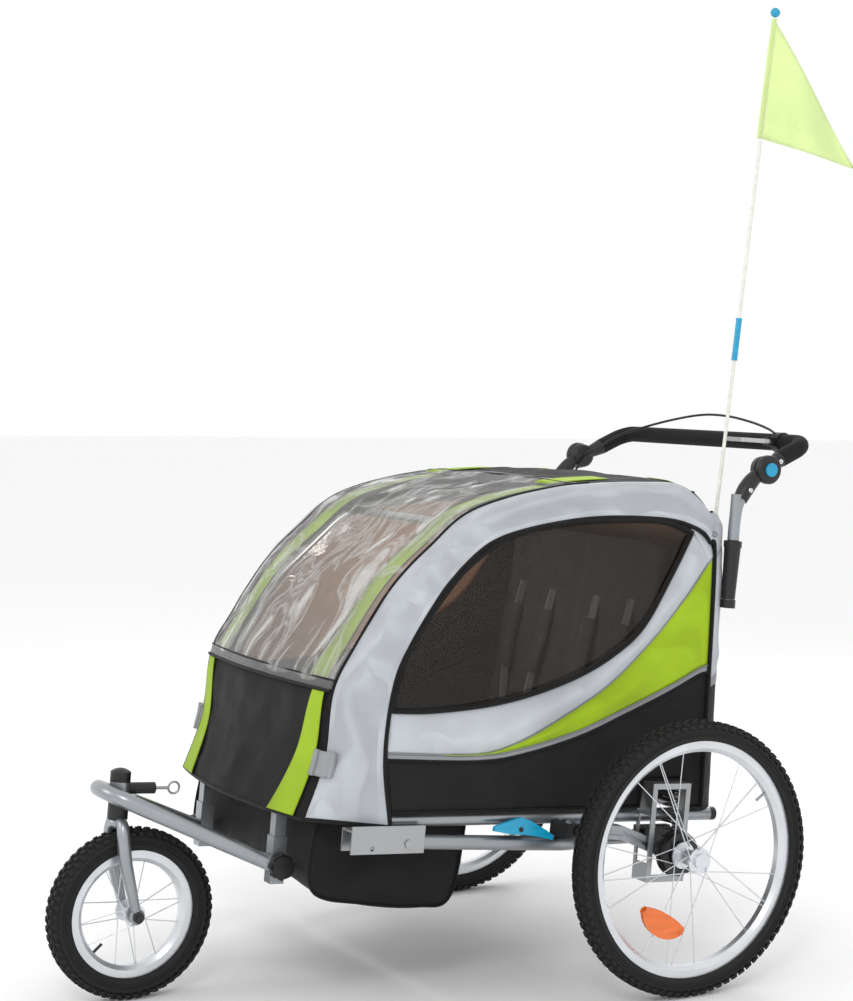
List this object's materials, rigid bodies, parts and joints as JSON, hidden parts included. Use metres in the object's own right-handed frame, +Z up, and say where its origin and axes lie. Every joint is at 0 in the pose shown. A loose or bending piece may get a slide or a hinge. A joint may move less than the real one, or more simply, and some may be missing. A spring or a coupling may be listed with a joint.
{
  "type": "child bicycle trailer",
  "caption": "Two-child bicycle trailer as a three-wheel jogger, with fabric cabin, rear suspension, swivel wheel, tilting push handle and flag.",
  "frame": {"origin": "centre of the footprint of the whole trailer, on the floor", "axes": "+X forward, +Y to the trailer's left, +Z up"},
  "size_m": [1.484, 0.87, 1.7636],
  "materials": {
    "frame_tube": "satin grey paint on tube",
    "dark_tube": "black powder coat",
    "zinc": "zinc plated",
    "black_plastic": "moulded",
    "spring_steel": "black coated coil",
    "brake_drum": "black enamel",
    "rim_alloy": "bright silver",
    "hub_metal": "plated",
    "tyre": "block tread",
    "lock_steel": "polished pin with pull ring",
    "blue_plastic": "moulded",
    "foam": "closed-cell foam",
    "cable": "cable housing",
    "flag_pole": "glass-fibre rod",
    "flag_cloth": "nylon",
    "silver_fabric": "coated polyester",
    "black_fabric": "coated polyester",
    "window_film": "smoked clear film",
    "seat_fabric": "padded polyester",
    "harness_webbing": "woven webbing"
  },
  "bodies": {
    "frame": {"floor_frame": "frame_tube", "rail_end_caps": "black_plastic", "cabin_hoops": "dark_tube", "cross_tubes": "frame_tube", "suspension_boxes": "frame_tube", "rail_brackets": "black_plastic", "spring_left": "spring_steel", "spring_right": "spring_steel", "tow_bracket": "zinc", "jogger_posts": "frame_tube", "jogger_bar": "frame_tube", "head_cups": "black_plastic", "handle_posts": "frame_tube", "handle_sleeves": "black_plastic", "handle_lower_arms": "black_plastic", "flag_pole": "flag_pole", "flag_pennant": "flag_cloth", "side_panel_left": "silver_fabric", "side_panel_right": "silver_fabric", "side_windows": "window_film", "canopy_arches": "silver_fabric", "front_window": "window_film", "front_panel": "black_fabric", "roof_panel": "black_fabric", "rear_cover": "silver_fabric", "floor_bag": "black_fabric", "seat_base": "seat_fabric", "seat_back": "seat_fabric", "harness": "harness_webbing", "brake_cable_lower": "cable"},
    "arm_left": {"trailing_arm_left": "black_plastic", "axle_block_left": "frame_tube", "brake_drum_left": "brake_drum"},
    "arm_right": {"trailing_arm_right": "black_plastic", "axle_block_right": "frame_tube", "brake_drum_right": "brake_drum"},
    "wheel_left": {"rear_tyre_left": "tyre", "rear_rim_left": "rim_alloy", "rear_hub_left": "hub_metal"},
    "wheel_right": {"rear_tyre_right": "tyre", "rear_rim_right": "rim_alloy", "rear_hub_right": "hub_metal"},
    "fork": {"front_fork": "frame_tube", "front_axle": "zinc"},
    "front_wheel": {"front_tyre": "tyre", "front_rim": "rim_alloy", "front_hub": "hub_metal"},
    "swivel_lock": {"lock_plunger": "lock_steel"},
    "knob_left": {"clamp_knob_left": "black_plastic"},
    "knob_right": {"clamp_knob_right": "black_plastic"},
    "handlebar": {"handle_upper_arms": "black_plastic", "grip_foam": "foam", "brake_clamp": "zinc", "brake_cable_upper": "cable"},
    "button_left": {"handle_button_left": "blue_plastic"},
    "button_right": {"handle_button_right": "blue_plastic"},
    "brake_lever": {"brake_lever": "zinc"},
    "tow_arm": {"tow_arm": "frame_tube", "hitch_coupler": "black_plastic"},
    "latch": {"latch_lever": "blue_plastic"}
  },
  "joints": [
    {"name": "left_suspension", "type": "hinge", "parent": "frame", "child": "arm_left", "pos_m": [-0.08868, 0.333, 0.29927], "axis": [0, 1, 0], "range_deg": [0, 6.8], "stiffness_Nm_per_rad": 300, "springref_deg": -7.45, "deforming": ["spring_left"]},
    {"name": "right_suspension", "type": "hinge", "parent": "frame", "child": "arm_right", "pos_m": [-0.08868, -0.333, 0.29927], "axis": [0, 1, 0], "range_deg": [0, 6.8], "stiffness_Nm_per_rad": 300, "springref_deg": -7.45, "deforming": ["spring_right"]},
    {"name": "rear_left_spin", "type": "hinge", "parent": "arm_left", "child": "wheel_left", "pos_m": [-0.29131, 0.405, 0.244], "axis": [0, 1, 0], "continuous": true},
    {"name": "rear_right_spin", "type": "hinge", "parent": "arm_right", "child": "wheel_right", "pos_m": [-0.29131, -0.405, 0.244], "axis": [0, 1, 0], "continuous": true},
    {"name": "fork_swivel", "type": "hinge", "parent": "frame", "child": "fork", "pos_m": [0.61946, 0, 0.3077], "axis": [-0.0698, 0, 0.9976], "continuous": true},
    {"name": "front_spin", "type": "hinge", "parent": "fork", "child": "front_wheel", "pos_m": [0.5935, 0, 0.1485], "axis": [0, 1, 0], "continuous": true},
    {"name": "swivel_lock_pull", "type": "slide", "parent": "frame", "child": "swivel_lock", "axis": [-0.9976, 0, -0.0698], "range_m": [0, 0.008], "stiffness_N_per_m": 800, "springref_m": -0.004},
    {"name": "left_knob_turn", "type": "hinge", "parent": "frame", "child": "knob_left", "pos_m": [0.39316, 0.18, 0.24676], "axis": [0, 1, 0], "range_deg": [0, 360]},
    {"name": "right_knob_turn", "type": "hinge", "parent": "frame", "child": "knob_right", "pos_m": [0.39316, -0.18, 0.24676], "axis": [0, -1, 0], "range_deg": [0, 360]},
    {"name": "handle_tilt", "type": "hinge", "parent": "frame", "child": "handlebar", "pos_m": [-0.51203, 0, 0.92025], "axis": [0, 1, 0], "range_deg": [-55, 55]},
    {"name": "left_button_press", "type": "slide", "parent": "frame", "child": "button_left", "axis": [0, -1, 0], "range_m": [0, 0.0035], "stiffness_N_per_m": 1500, "springref_m": -0.002},
    {"name": "right_button_press", "type": "slide", "parent": "frame", "child": "button_right", "axis": [0, 1, 0], "range_m": [0, 0.0035], "stiffness_N_per_m": 1500, "springref_m": -0.002},
    {"name": "brake_squeeze", "type": "hinge", "parent": "handlebar", "child": "brake_lever", "pos_m": [-0.58862, 0.215, 0.96902], "axis": [0.0698, 0, -0.9976], "range_deg": [0, 16], "stiffness_Nm_per_rad": 0.6, "springref_deg": -20.05},
    {"name": "tow_arm_swing", "type": "hinge", "parent": "frame", "child": "tow_arm", "pos_m": [0.2358, 0.314, 0.30372], "axis": [0, -1, 0], "range_deg": [0, 170]},
    {"name": "latch_swing", "type": "hinge", "parent": "frame", "child": "latch", "pos_m": [0.01892, 0.332, 0.3088], "axis": [0, 1, 0], "range_deg": [0, 45]}
  ]
}
